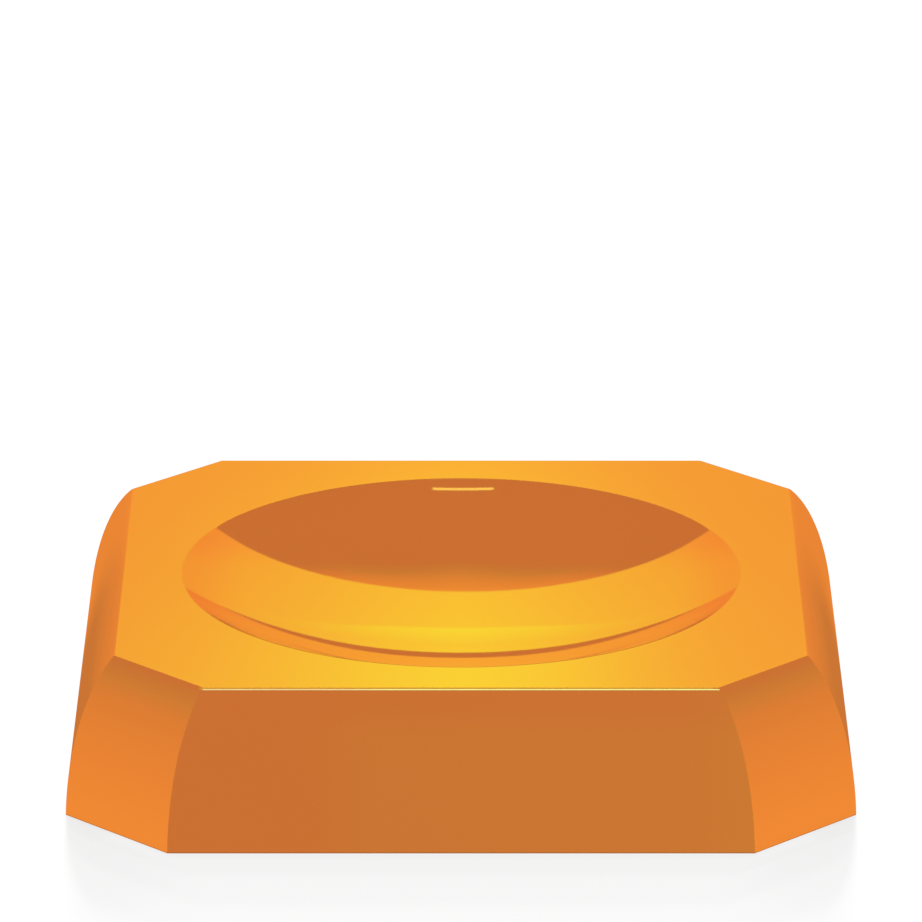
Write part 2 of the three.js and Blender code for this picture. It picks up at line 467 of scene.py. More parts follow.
def edge_highlight_material():
    """Painted highlight: pale yellow colour on the top edge strip of the lens faces, yellower to
    +X.
    """
    m, n = material("edge_painted_highlight")
    vec = n.object_coords()
    x = n.split(vec)[0]
    vary = n.mottle(vec, scale=400.0 / SCALE, detail=2.0, rough=0.5, to=(0.94, 1.05))
    green = n.smooth(x, over=(-16.5 * MM, -7.5 * MM), to=(0.73, 0.97))
    colour = n.combine(vary, n.mul(green, vary), n.mul(0.31, vary))
    n.out(n.principled(colour, roughness=0.2, specular=0.3).outputs[0])
    return m


def simple(name, colour, rough, metallic=0.0, specular=0.3, grain=0.0, grain_scale=900.0,
           vary=0.08):
    """Mottled colour and roughness, with a grain bump if asked for."""
    m, n = material(name)
    vec = n.object_coords()
    factor = n.mottle(vec, scale=grain_scale / SCALE, detail=4.0, rough=0.6,
                      to=(1 - vary, 1 + vary))
    roughness = n.mottle(vec, scale=grain_scale * 0.5 / SCALE, detail=3.0, rough=0.5,
                         to=(rough * 0.85, rough * 1.15))
    shader = n.principled(n.scaled(colour, factor), roughness, specular)
    shader.inputs["Metallic"].default_value = metallic
    if grain > 0:
        height = n.noise(vec, scale=grain_scale / SCALE, detail=5.0, rough=0.65)
        n.put(shader.inputs["Normal"], n.bump(height, strength=grain, distance=0.1 * MM))
    n.out(shader.outputs[0])
    return m


def sand_material():
    m, n = material("sand_grains")
    vec = n.object_coords()
    cells = n.new("ShaderNodeTexVoronoi", feature="F1")
    n.put(cells.inputs["Vector"], vec)
    cells.inputs["Scale"].default_value = 1900 / SCALE
    random = n.split(cells.outputs["Color"], "ShaderNodeSeparateColor")
    grain = n.ramp(random[0], [(0.0, (0.20, 0.15, 0.10)), (0.25, (0.42, 0.32, 0.20)),
                               (0.55, (0.55, 0.45, 0.31)), (0.8, (0.68, 0.60, 0.46)),
                               (1.0, (0.80, 0.76, 0.68))])
    # painted shade towards the edges of each grain, where the grains meet
    shade = n.smooth(cells.outputs["Distance"], over=(0.15, 0.62), to=(1.0, 0.35))
    blotch = n.mottle(vec, scale=140 / SCALE, detail=3.0, rough=0.6, to=(0.82, 1.1))
    colour = n.scaled(n.split(grain, "ShaderNodeSeparateColor"), n.mul(shade, blotch))
    roughness = n.linear(random[1], over=(0.0, 1.0), to=(0.55, 0.95))
    n.out(n.principled(colour, roughness, specular=0.35).outputs[0])
    return m


MAT_AMBER = amber("amber_housing", is_lens=False, rough=0.035)
MAT_LENS = amber("amber_lens_face", is_lens=True, rough=0.02)
MAT_EDGE_HIGHLIGHT = edge_highlight_material()
MAT_INNER = simple("amber_inside", (0.80, 0.24, 0.03), rough=0.45, specular=0.4, vary=0.05,
                   grain_scale=300)
MAT_BACKING = simple("backing_grey", (0.45, 0.46, 0.47), rough=0.35, metallic=0.6, vary=0.06)
MAT_POT = simple("cast_resin", (0.30, 0.27, 0.23), rough=0.8, grain=0.8, vary=0.25,
                 grain_scale=1200)
MAT_PAD = simple("butyl_black", (0.018, 0.018, 0.02), rough=0.42, specular=0.5, grain=0.25,
                 vary=0.2, grain_scale=260)

# ------------------------------------------------------------------ eight-sided rings

# Sectors run counter-clockwise from above, starting with the front wall.
COUNTS = [52, 20] * 4                  # quads along a flat and along a corner cut
N = sum(COUNTS)
STARTS = np.concatenate([[0], np.cumsum(COUNTS)])
SECTOR_OF = np.repeat(np.arange(8), COUNTS)
DIAGONAL = 0.70710678
SECTOR_DIR = [(0, -1), (DIAGONAL, -DIAGONAL), (1, 0), (DIAGONAL, DIAGONAL),
              (0, 1), (-DIAGONAL, DIAGONAL), (-1, 0), (-DIAGONAL, -DIAGONAL)]
WINDOWS = (0, 4)                       # sectors open for the lens faces
WINDOW_POINTS = [i for i in range(N) if SECTOR_OF[i] in WINDOWS and i not in STARTS]


def octagon_ring(flat, reach):
    """N points round an octagon: flat is half a long side, reach its distance out."""
    corners = np.array([(-flat, -reach), (flat, -reach), (reach, -flat), (reach, flat),
                        (flat, reach), (-flat, reach), (-reach, flat), (-reach, -flat)])
    points = []
    for s, count in enumerate(COUNTS):
        a, b = corners[s], corners[(s + 1) % 8]
        points += [a + (b - a) * (j / count) for j in range(count)]
    return np.array(points)


def wall_ring(w):
    return octagon_ring(w - CORNER * w, w)


def inset_ring(z, inset):
    w = half_width(z)
    return octagon_ring(w - CORNER * w - inset * TAN8, w - inset)


def side_normal(sector, z):
    """Outward normal of a sector's wall at height z."""
    x, y = SECTOR_DIR[sector]
    lean = 1.0 if sector % 2 == 0 else (2 - CORNER) / math.sqrt(2)
    return unit((x, y, -wall_slope(z) * lean))


# ------------------------------------------------------------------ housing

# steps between rings, from the ground to the middle of the dish
FOOT_STEPS, WALL_STEPS, TOP_STEPS, DECK_STEPS, RIM_STEPS, DISH_STEPS = 3, 30, 4, 9, 5, 46
LIP_RING = FOOT_STEPS + WALL_STEPS     # lower edge of the lip over the windows
TOP_RING = LIP_RING + 1 + TOP_STEPS    # outer edge of the flat deck
DECK_RING = TOP_RING + DECK_STEPS      # inner edge of the flat deck
RIM_RING = DECK_RING + RIM_STEPS       # edge of the dish

DECK_OUTER = wall_ring(half_width(H) - DECK_HALF_INSET)
ANGLES = np.arctan2(DECK_OUTER[:, 1], DECK_OUTER[:, 0])
CIRCLE = np.stack([np.cos(ANGLES), np.sin(ANGLES)], 1)
UP = np.array((0, 0, 1.0))

# blend: share of the next surface's normal; radius: of the dish rings
Ring = namedtuple("Ring", "xy z kind blend radius", defaults=(0.0, 0.0))


def outer_rings():
    """The outside, from the ground up the walls, over the deck and into the dish."""
    rings = []
    for offset, z in bezier((-FOOT, 0.0), (0.0, 0.0), (0.0, FOOT), FOOT_STEPS):
        kind = "foot" if z < FOOT * 0.99 else "side"
        rings.append(Ring(wall_ring(half_width(z) + offset), z, kind))
    edge_z = H - EDGE
    for z in eased(FOOT, H - LIP, WALL_STEPS, 1.35)[1:] + [edge_z]:
        rings.append(Ring(wall_ring(half_width(z)), z, "side"))
    top_w = half_width(H)
    rounding = bezier((half_width(edge_z), edge_z), (top_w, H), (top_w - DECK_HALF_INSET, H),
                      TOP_STEPS)
    for i, (w, z) in enumerate(rounding[1:], 1):
        rings.append(Ring(wall_ring(w), z, "top", i / TOP_STEPS))
    for i in range(1, DECK_STEPS + 1):
        b = i / DECK_STEPS
        rings.append(Ring(DECK_OUTER * (1 - b) + CIRCLE * (RIM_R + RIM_OUT) * b, H, "deck"))
    dish_z = BALL_Z - math.sqrt(BALL_R ** 2 - DISH_EDGE ** 2)
    rolled = bezier((RIM_R + RIM_OUT, H), (RIM_R + RIM_EASE, H), (DISH_EDGE, dish_z), RIM_STEPS)
    for i, (r, z) in enumerate(rolled[1:], 1):
        rings.append(Ring(CIRCLE * r, z, "rim", (i / RIM_STEPS) ** 0.45))
    edge_angle = math.asin(DISH_EDGE / BALL_R)
    for i in range(1, DISH_STEPS):
        a = edge_angle * (1 - i / DISH_STEPS)
        r = BALL_R * math.sin(a)
        rings.append(Ring(CIRCLE * r, BALL_Z - BALL_R * math.cos(a), "dish", radius=r))
    return rings


def inner_rings(rings):
    """The inside behind every outer ring, as (points, height)."""
    ceiling = H - WALL
    ball = BALL_R + WALL
    dish_r = math.sqrt(ball ** 2 - (BALL_Z - ceiling) ** 2)
    # behind the windows the ceiling ends where the sloping underside of the lip meets it
    start = inset_ring(ceiling, WALL)
    lip_y = -half_width(H - LIP) + (WALL - LIP) / math.tan(LIP_SLOPE)
    for i in WINDOW_POINTS:
        start[i, 1] = lip_y if SECTOR_OF[i] == 0 else -lip_y
    inner = []
    for k, ring in enumerate(rings):
        if k < LIP_RING:
            z = ring.z / H * ceiling
            inner.append((inset_ring(z, WALL), z))
        elif k == LIP_RING:
            z = ceiling - 0.15 * MM
            points = inset_ring(z, WALL)
            for i in WINDOW_POINTS:
                points[i] = start[i]
                points[i, 1] *= 1.004
            inner.append((points, z))
        elif k <= RIM_RING:
            u = (k - LIP_RING) / (RIM_RING - LIP_RING)
            inner.append((start * (1 - u) + CIRCLE * dish_r * u, ceiling))
        else:
            r = dish_r * ring.radius / DISH_EDGE
            inner.append((CIRCLE * r, BALL_Z - math.sqrt(ball ** 2 - r ** 2)))
    return inner


def dish_normal(x, y, z):
    """Flatter halfway out than a true ball, picking up again at the rim."""
    q = math.hypot(x, y) / RIM_R
    f = 1 + q * (0.2407 + q * (-3.0004 + q * (7.0235 + q * (-7.0457 + q * 2.8561))))
    return unit((-x * f, -y * f, BALL_Z - z))


def ring_normal(ring, i, sector):
    x, y = ring.xy[i % N]
    blend = ring.blend
    if ring.kind == "foot":
        t = 1 - ring.z / FOOT
        return unit(side_normal(sector, 0) * (1 - 0.8 * t) + np.array((0, 0, -0.8 * t)))
    if ring.kind == "side":
        return side_normal(sector, ring.z)
    if ring.kind == "top":
        return unit(side_normal(sector, H) * (1 - blend) + UP * blend)
    if ring.kind == "deck":
        return UP
    if ring.kind == "rim":
        return unit(UP * (1 - blend) + dish_normal(x, y, ring.z) * blend)
    return dish_normal(x, y, ring.z)


def housing_attributes(ob, mesh, rings):
    """Masks the amber material reads."""

    def paint(name, value_at, centre):
        values = np.zeros(len(mesh.verts), np.float32)
        for key, index in mesh.index.items():
            if key[0] == "outer":
                values[index] = value_at(key[1], SECTOR_OF[key[2]])
            elif key[0] == "outer centre":
                values[index] = centre
        point_attribute(ob, name, values)

    def deck(k, sector):
        # over the windows the rounded lip keeps the wall colour almost to the flat deck
        if rings[k].kind == "top":
            return rings[k].blend > (0.9 if sector in WINDOWS else 0.6)
        return rings[k].kind in ("deck", "rim", "dish")

    def lip(k, sector):
        return LIP_RING <= k < TOP_RING and sector in WINDOWS

    # mask for the painted shade line just inside the dish rim
    def rim_line(k, sector):
        if k == RIM_RING:
            return 0.5
        return DECK_RING < k < RIM_RING

    def dish(k, sector):
        return k >= RIM_RING

    paint("deck", deck, centre=1)
    paint("lip", lip, centre=0)
    paint("rim_line", rim_line, centre=0)
    paint("dish", dish, centre=1)


def build_housing():
    mesh = Builder()
    rings = outer_rings()
    inner = inner_rings(rings)
    last = len(rings) - 1

    def outside(k, i):
        i %= N
        return mesh.vert(("outer", k, i), (*rings[k].xy[i], rings[k].z))

    def inside(k, i):
        i %= N
        points, z = inner[k]
        return mesh.vert(("inner", k, i), (*points[i], z))

    def is_open(k, i):
        return SECTOR_OF[i] in WINDOWS and k < LIP_RING

    for k in range(last):
        for i in range(N):
            if is_open(k, i):
                continue
            corners = [(k, i), (k, i + 1), (k + 1, i + 1), (k + 1, i)]
            mesh.face([outside(*c) for c in corners],
                      [ring_normal(rings[a], b, SECTOR_OF[i]) for a, b in corners])
            mesh.face([inside(k, i), inside(k + 1, i), inside(k + 1, i + 1), inside(k, i + 1)],
                      mat=1)
    # centre of the dish
    centre = mesh.vert(("outer centre",), (0, 0, BALL_Z - BALL_R))
    centre_in = mesh.vert(("inner centre",), (0, 0, BALL_Z - (BALL_R + WALL)))
    for i in range(N):
        s = SECTOR_OF[i]
        mesh.face([outside(last, i), outside(last, i + 1), centre],
                  [ring_normal(rings[last], i, s), ring_normal(rings[last], i + 1, s), UP])
        mesh.face([inside(last, i + 1), inside(last, i), centre_in], mat=1)
    # ground rim and the underside of the lip
    for i in range(N):
        k = LIP_RING if is_open(0, i) else 0
        mesh.face([outside(k, i + 1), outside(k, i), inside(k, i), inside(k, i + 1)])
    # window jambs
    for k in range(LIP_RING):
        for s in WINDOWS:
            a, b = int(STARTS[s]), int(STARTS[s + 1])
            mesh.face([outside(k + 1, a), outside(k, a), inside(k, a), inside(k + 1, a)])
            mesh.face([outside(k, b), outside(k + 1, b), inside(k + 1, b), inside(k, b)])
    ob = mesh.build("housing", [MAT_AMBER, MAT_INNER])
    housing_attributes(ob, mesh, rings)
    return ob


register(build_housing(), "body_shell")


# ------------------------------------------------------------------ lens faces

FACE_COLUMNS, FACE_ROWS = 64, 34
DEPTH = {"face": 0.0, "back": FACE_T}  # of each surface, in from the wall's outside


def under_lip(y):
    """Height of the lip's underside, less the seam."""
    return H - LIP - FACE_SEAM - max(0.0, y + half_width(H - LIP)) * math.tan(LIP_SLOPE)


def mitre_height(depth):
    """Where a surface this deep in meets the underside of the lip, by bisection."""
    low, high = FACE_FOOT, H - LIP
    for _ in range(40):
        mid = (low + high) / 2
        if mid < under_lip(-half_width(mid) + depth):
            low = mid
        else:
            high = mid
    return low


def build_lens_face(name, turned):
    """A sheet filling the front window, mitred at its sides and top; turned puts it at the rear."""
    mesh = Builder()
    strip_z = mitre_height(0.0) - STRIP
    face_z = eased(FACE_FOOT, strip_z - 0.1 * MM, FACE_ROWS - 2, 1.3)
    face_z += [strip_z - 0.07 * MM, strip_z]
    back_z = eased(FACE_FOOT, mitre_height(FACE_T), FACE_ROWS, 1.3)
    steps = [2 * i / FACE_COLUMNS - 1 for i in range(FACE_COLUMNS + 1)]
    across = [math.sin(math.pi / 2 * t) * 0.15 + t * 0.85 for t in steps]
    end = FACE_COLUMNS

    def reach(z, depth):
        return half_width(z) * (1 - CORNER) - FACE_SEAM / math.cos(math.pi / 8) - depth * TAN8

    def point(side, z, i):
        depth = DEPTH[side]
        co = (across[i] * reach(z, depth), -half_width(z) + depth, z)
        return mesh.vert((side, round(z, 9), i), co)

    for k in range(FACE_ROWS):
        for i in range(FACE_COLUMNS):
            for side, heights, sign, p, q in (("face", face_z, 1, i, i + 1),
                                              ("back", back_z, -1, i + 1, i)):
                a, b = heights[k], heights[k + 1]
                low, high = sign * side_normal(0, a), sign * side_normal(0, b)
                mesh.face([point(side, a, p), point(side, a, q),
                           point(side, b, q), point(side, b, p)], [low, low, high, high])
    # top edge strip, coloured as a painted highlight
    strip = [point("face", strip_z, i) for i in range(end + 1)]
    z = strip_z + STRIP
    y = -half_width(strip_z) + STRIP * 0.62 + 0.06 * MM
    z = min(z, under_lip(y))
    top = [mesh.vert(("top", i), (across[i] * (reach(z, 0.0) - 0.02 * MM), y, z))
           for i in range(end + 1)]
    for i in range(end):
        mesh.face([strip[i], strip[i + 1], top[i + 1], top[i]], mat=1)
    # mitre under the lip, and the foot
    for i in range(end):
        mesh.face([top[i], top[i + 1], point("back", back_z[-1], i + 1),
                   point("back", back_z[-1], i)])
        mesh.face([point("face", face_z[0], i + 1), point("face", face_z[0], i),
                   point("back", back_z[0], i), point("back", back_z[0], i + 1)])
    # side mitres
    for k in range(FACE_ROWS):
        for i, a, b in ((0, k, k + 1), (end, k + 1, k)):
            mesh.face([point("face", face_z[a], i), point("face", face_z[b], i),
                       point("back", back_z[b], i), point("back", back_z[a], i)])
    mesh.face([strip[0], top[0], point("back", back_z[-1], 0)])
    mesh.face([top[end], strip[end], point("back", back_z[-1], end)])

    # painted shade: narrow darker line just under the top edge strip
    shade = np.zeros(len(mesh.verts), np.float32)
    for key, index in mesh.index.items():
        if key[0] == "face" and key[1] >= strip_z - 0.09 * MM:
            shade[index] = 0.12
    if turned:
        mesh.verts = [(-x, -y, z) for x, y, z in mesh.verts]
        mesh.normals = [(-x, -y, z) for x, y, z in mesh.normals]
    ob = mesh.build(name, [MAT_LENS, MAT_EDGE_HIGHLIGHT])
    point_attribute(ob, "shade", shade)
    return ob


for end_name, turned in (("front", False), ("rear", True)):
    register(build_lens_face(f"{end_name}_face_sheet", turned), f"{end_name}_lens_face")

# ------------------------------------------------------------------ sand bed and pad


def outline(node, shrink):
    """Outline of a flat CAD solid, counter-clockwise, pulled in a little; its lowest and top z."""
    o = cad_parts[node]
    co = [o.matrix_world @ v.co for v in o.data.vertices]
    points = sorted({(round(p.x, 7), round(p.y, 7)) for p in co})

    def turn(a, b, p):
        return (b[0] - a[0]) * (p[1] - a[1]) - (b[1] - a[1]) * (p[0] - a[0])

    def chain(sequence):
        hull = []
        for p in sequence:
            while len(hull) > 1 and turn(hull[-2], hull[-1], p) <= 1e-12:
                hull.pop()
            hull.append(p)
        return hull[:-1]

    hull = np.array(chain(points) + chain(points[::-1]))
    hull = hull[[i for i in range(len(hull)) if np.linalg.norm(hull[i] - hull[i - 1]) > 0.2 * MM]]
    return hull * (1 - shrink / np.abs(hull).max()), min(p.z for p in co), max(p.z for p in co)


def walk(polygon, step, soft):
    """Points round a polygon about step apart, its corners rounded off by soft."""
    points = []
    for i, corner in enumerate(polygon):
        after = polygon[(i + 1) % len(polygon)]
        start = corner + unit(polygon[i - 1] - corner) * soft
        along = unit(after - corner)
        leave = corner + along * soft
        points += bezier(start, corner, leave, 4)[:-1]
        stop = after - along * soft
        count = max(1, int(round(np.linalg.norm(stop - leave) / step)))
        points += [leave + (stop - leave) * j / count for j in range(count)]
    return np.array(points)


def slab(name, ring, rows, top, bottom, mat):
    """Closed slab from (scale of the ring, height or height function) rows, top row first.

    The first and last rows close on centre points at heights top and bottom.
    """
    count = len(ring)
    verts, faces = [], []
    for scale, height in rows:
        for x, y in ring * scale:
            verts.append((x, y, height(x, y) if callable(height) else height))
    for k in range(len(rows) - 1):
        for i in range(count):
            j = (i + 1) % count
            a, b = k * count, (k + 1) * count
            faces.append((a + i, b + i, b + j, a + j))
    first = len(verts)
    verts += [(0, 0, top), (0, 0, bottom)]
    last_row = (len(rows) - 1) * count
    for i in range(count):
        j = (i + 1) % count
        faces.append((first, i, j))
        faces.append((first + 1, last_row + j, last_row + i))
    return make_mesh(name, verts, faces, [mat])


def build_sand():
    polygon, z0, z1 = outline("base_sand_layer", shrink=0.10 * MM)
    ring = walk(polygon, step=0.42 * MM, soft=0.5 * MM)
    pitch = 0.62 * MM                  # spacing of the grains
    relief = 0.34 * MM                 # their height
    middle_z = z0 + 0.2 * MM

    def grains(x, y):
        d = noise.voronoi(Vector((x / pitch, y / pitch, 0.3)))[0][0]
        w = noise.noise(Vector((x * 700 / SCALE, y * 700 / SCALE, 2.0)))
        return z0 + 0.02 * MM + relief * min(1.0, max(0.0, d * d * 1.7 + 0.12 * w))

    mm_share = MM / float(np.abs(ring).max())
    rows = [(1.0, z1), (1.0, z1 - 0.25 * MM), (1.0, z0 + 0.3 * MM),
            (1 - 0.08 * mm_share, z0 + 0.15 * MM)]
    rows += [(1 - (0.08 + 0.33 * i) * mm_share, grains) for i in range(1, 17)]
    rows += [(0.7, middle_z), (0.35, middle_z)]
    # a little wander in the cut edge of the bed
    wander = [noise.noise(Vector((x * 900 / SCALE, y * 900 / SCALE, 5.0))) for x, y in ring]
    shrink = np.array([1 - 0.0018 * (0.5 + 0.5 * w) for w in wander])
    return slab("sand_bed", ring * shrink[:, None], rows, z1, middle_z, sand_material())


def build_pad():
    polygon, z0, z1 = outline("adhesive_pad", shrink=0.05 * MM)
    ring = walk(polygon, step=0.9 * MM, soft=2.2 * MM)
    reach = float(np.abs(ring).max())
    rounding = 0.42 * MM

    def under(x, y):
        # extrusion lines across the pad and soft unevenness, fading out at the edge
        sway = 0.4 * MM * math.sin(x * 90 / SCALE)
        lines = 0.5 + 0.5 * math.cos(2 * math.pi * (y + sway) / (3.6 * MM))
        soft = 0.5 + 0.5 * noise.noise(Vector((x * 130 / SCALE, y * 130 / SCALE, 1.0)))
        edge = max(abs(x), abs(y), (abs(x) + abs(y)) / (2 - CORNER)) / reach
        fade = min(1.0, max(0.0, (1 - edge) * reach / (1.2 * MM)))
        return z0 + (0.055 * lines ** 3 + 0.05 * soft) * MM * fade

    # rounded top edge, slightly bulging side, rounded lower edge, underside
    rows = [(1 - 0.5 * rounding / reach, z1), (1 - 0.12 * rounding / reach, z1 - 0.25 * rounding)]
    for t in (0.15, 0.5, 0.85):
        rows.append((1 - (0.10 * MM / reach) * (1 - math.sin(math.pi * t)),
                     z1 - 0.45 * rounding - (z1 - z0 - 1.25 * rounding) * t))
    for t in (0.25, 0.5, 0.75, 1.0):
        a = t * math.pi / 2
        rows.append((1 - rounding * (1 - math.cos(a)) / reach, z0 + rounding * (1 - math.sin(a))))
    rows += [((1 - rounding / reach) * (1 - i / 70), under) for i in range(1, 70)]
    return slab("butyl_pad", ring, rows, z1, under(0.0, 0.0), MAT_PAD)


register(build_sand(), "base_sand_layer")
register(build_pad(), "adhesive_pad")

# CAD pieces kept as they are, given a material
for node, mat in (("front_lens", MAT_INNER), ("rear_lens", MAT_INNER),
                  ("front_cell_backing", MAT_BACKING), ("rear_cell_backing", MAT_BACKING),
                  ("potting_core", MAT_POT)):
    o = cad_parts[node]
    o.data.materials.clear()
    o.data.materials.append(mat)

# ------------------------------------------------------------------ floor

scene = bpy.context.scene
scene.view_settings.view_transform = "Standard"
scene.view_settings.look = "None"

FLOOR_HALF = 6.0
FLOOR_GLOW = 0.835                     # what the camera sees; other rays see 1.0
FLOOR_DIFFUSE = 0.05


def painted_side_shadow(n):
    """Painted soft shadow on the floor by the near sides of the marker, for cameras that face a
    side squarely.
    """
    x, y, _ = n.split(n.object_coords())
    right, ahead = n.heading(x, y)
    axis = n.camera_axis(1, 0, 0)
    square = n.smooth(n.max(n.abs(axis[0]), n.abs(axis[1])), over=(0.95, 0.995))
    # millimetres to either side, and towards the camera
    aside = n.mul(n.abs(right), 1 / MM)
    near = n.mul(ahead, -1 / MM)
    # the outer edge curves in, and softens, beyond 38 mm towards the camera
    past = n.max(n.sub(near, 38.0), 0.0)
    past = n.mul(past, past)
    outer = n.mul_add(past, -0.0025, 50.75)
    inside = n.div(n.sub(outer, aside), n.mul_add(past, 0.0023, 0.6))
    side = n.mul(n.smooth(aside, over=(30.5, 45.0)), n.smooth(inside, over=(0.0, 1.0)))
    # starts along the corner cut
    gap = n.sub(n.add(near, aside), 88.1)
    start = n.max(n.smooth(gap, over=(0.0, 7.0)), n.smooth(aside, over=(43.5, 47.0)))
    length = n.mul(n.smooth(near, over=(62.0, 78.0), to=(1.0, 0.2)),
                   n.smooth(near, over=(30.0, 34.0)))
    return n.mul(n.mul(side, start), n.mul(length, square))


def floor_material():
    m, n = material("pale_floor")
    from_camera = n.new("ShaderNodeLightPath").outputs["Is Camera Ray"]
    emission = n.new("ShaderNodeEmission")
    emission.inputs["Color"].default_value = (1, 1, 1, 1)
    # camera rays see the floor level less the painted shadow
    glow = n.mul_add(painted_side_shadow(n), -0.042, FLOOR_GLOW - 1.0)
    n.put(emission.inputs["Strength"], n.mul_add(from_camera, glow, 1.0))
    diffuse = n.new("ShaderNodeBsdfDiffuse")
    grey = n.mul(from_camera, FLOOR_DIFFUSE)
    n.put(diffuse.inputs["Color"], n.combine(grey, grey, grey))
    both = n.new("ShaderNodeAddShader")
    n.put(both.inputs[0], emission.outputs[0])
    n.put(both.inputs[1], diffuse.outputs[0])
    # from below the floor is open, so the underside can be looked at
    clear = n.new("ShaderNodeBsdfTransparent")
    below = n.mul(n.new("ShaderNodeNewGeometry").outputs["Backfacing"], from_camera)
    n.out(n.mix(below, both.outputs[0], clear.outputs[0]))
    m.cycles.emission_sampling = "NONE"
    return m


def build_floor():
    s = FLOOR_HALF
    ob = make_mesh("floor", [(-s, -s, 0), (s, -s, 0), (s, s, 0), (-s, s, 0)], [(0, 1, 2, 3)],
                   [floor_material()], smooth=[False])
    ob.visible_glossy = False
    ob.location.z = -0.00002
    return ob


floor = build_floor()

# ------------------------------------------------------------------ lamps

# (elevation in degrees, share of the brightness on the floor)
BACK_LAMPS = [(12, 1.0), (19, 1.0), (28, 1.0), (40, 1.0), (56, 1.0), (74, 0.8)]
LAMP_SUM = 0.15                        # brightness all the lamps add to the floor


def build_back_lamps():
    """Lamps behind the object that light only the floor, for a soft shade in front of it."""
    only_floor = bpy.data.collections.new("lit_by_back_lamps")
    only_floor.objects.link(floor)
    rig = bpy.data.objects.new("lamp_rig", None)
    scene.collection.objects.link(rig)
    total = sum(share for _, share in BACK_LAMPS)
    for i, (degrees, share) in enumerate(BACK_LAMPS):
        elevation = math.radians(degrees)
        light = bpy.data.lights.new(f"back_lamp_{i}", "SUN")
        light.energy = (LAMP_SUM * share / total * math.pi / FLOOR_DIFFUSE
                        / math.sin(elevation))
        light.angle = math.radians(4)
        ob = bpy.data.objects.new(f"back_lamp_{i}", light)
        scene.collection.objects.link(ob)
        shine = Vector((0, -math.cos(elevation), -math.sin(elevation)))
        ob.rotation_mode = "QUATERNION"
        ob.rotation_quaternion = shine.to_track_quat("-Z", "Y")
        ob.parent = rig
        ob.light_linking.receiver_collection = only_floor
    return rig


rig = build_back_lamps()

# ------------------------------------------------------------------ sky

def studio_direction(n):
    """Right, ahead and up of a ray, and the sine of the camera's elevation.

    The studio climbs with cameras well above or below the marker, so each side is lit alike.
    """
    direction = n.new("ShaderNodeVectorMath", operation="NORMALIZE")
    n.put(direction.inputs[0], n.new("ShaderNodeTexCoord").outputs["Generated"])
    x, y, z = n.split(direction.outputs[0])
    right, level = n.heading(x, y)
    camera_up = n.camera_axis(0, 1, 0)
    sin_camera = n.ahead(camera_up[0], camera_up[1], n.camera_axis(1, 0, 0))
    elevation = n.math("ARCTAN2", sin_camera, camera_up[2])
    above = n.max(n.sub(elevation, math.radians(27)), 0.0)
    below = n.math("MINIMUM", n.add(elevation, math.radians(12)), 0.0)
    climb = n.add(n.mul(above, 1.1), n.mul(below, 0.9))
    cos_climb, sin_climb = n.math("COSINE", climb), n.math("SINE", climb)
    ahead = n.mul_add(level, cos_climb, n.mul(z, sin_climb))
    up = n.sub(n.mul(z, cos_climb), n.mul(level, sin_climb))
    return right, ahead, up, sin_camera


def panel_edge(n, right, sin_camera, outer):
    """How far ahead a ray must point to meet the panel."""
    # the edge bows gently: least straight ahead and at the far sides
    x = n.linear(right, over=(-0.5, 0.5), to=(-0.5, 0.5))
    x2 = n.mul(x, x)
    bow = n.mul_add(x2, n.mul_add(x2, 10.096, -5.530), 0.5652)
    edge = n.mul_add(x2, bow, n.mul_add(x, -0.0191, 0.7285))
    # seen from well above, the panel is a plain disc
    high = n.smooth(sin_camera, over=(0.46, 0.62))
    edge = n.mul_add(high, n.sub(0.73, edge), edge)
    # inner reflections see a smaller plain disc
    inner_edge = 0.7820
    return n.mul_add(outer, n.sub(edge, inner_edge), inner_edge)


def panel_halo(n, aside, ahead, edge, outer):
    """Red and green of the warm halo round the panel, narrower towards the sides."""
    distance = n.max(n.sub(n.add(edge, 0.0025), ahead), 0.0)
    width = n.ramp(aside, [(0.0, 0.088), (0.167, 0.050), (0.213, 0.042), (0.263, 0.018),
                           (0.31, 0.008)])
    peak = n.ramp(aside, [(0.0, 0.76), (0.167, 0.64), (0.213, 0.42), (0.263, 0.10), (0.30, 0.0)])

    def glow(reach, power, level):
        fade = n.math("POWER", n.one_minus(n.div(distance, reach), clamp=True), power)
        return n.mul(n.mul(fade, level), outer)

    red = glow(width, power=0.7, level=peak)
    green = glow(n.add(width, 0.034), power=0.8, level=n.mul(peak, 0.36))
    return red, green


def yellow_band(n, azimuth, elevation, disc, outer):
    """Band just under the line 28.9 degrees up the panel; the line falls to the sides."""
    az2 = n.mul(azimuth, azimuth)
    line = n.sub(28.9, n.mul(az2, n.mul_add(az2, 0.0007, 0.045)))
    under = n.sub(line, elevation)
    band = n.mul(n.smooth(under, over=(-0.15, 0.25)),
                 n.linear(under, over=(0.0, 9.0), to=(0.29, 0.0)))
    band = n.mul(band, n.smooth(n.abs(azimuth), over=(6.0, 12.0), to=(1.0, 0.0)))
    return n.mul(n.mul(band, disc), outer)


def side_panels(n, right, up):
    """Red and green of the dim panels to either side, fading upwards."""
    low, high = -0.35, 0.75
    height = n.linear(up, over=(low, high))
    # (sine of elevation, level)
    red = ((-0.34, 0.72), (-0.28, 0.83), (0.0, 0.665), (0.22, 0.50), (0.38, 0.39),
           (0.44, 0.32), (0.5, 0.19), (0.6, 0.02), (0.66, 0.0))
    green = ((-0.34, 0.72), (-0.28, 0.79), (0.0, 0.61), (0.22, 0.48), (0.38, 0.39),
             (0.55, 0.30), (0.62, 0.20), (0.74, 0.0))
    levels = [n.ramp(height, [((v + 0.35) / 1.1, level) for v, level in stops])
              for stops in (red, green)]
    sideways = n.smooth(n.abs(right), over=(0.58, 0.80))
    return [n.mul(level, sideways) for level in levels]


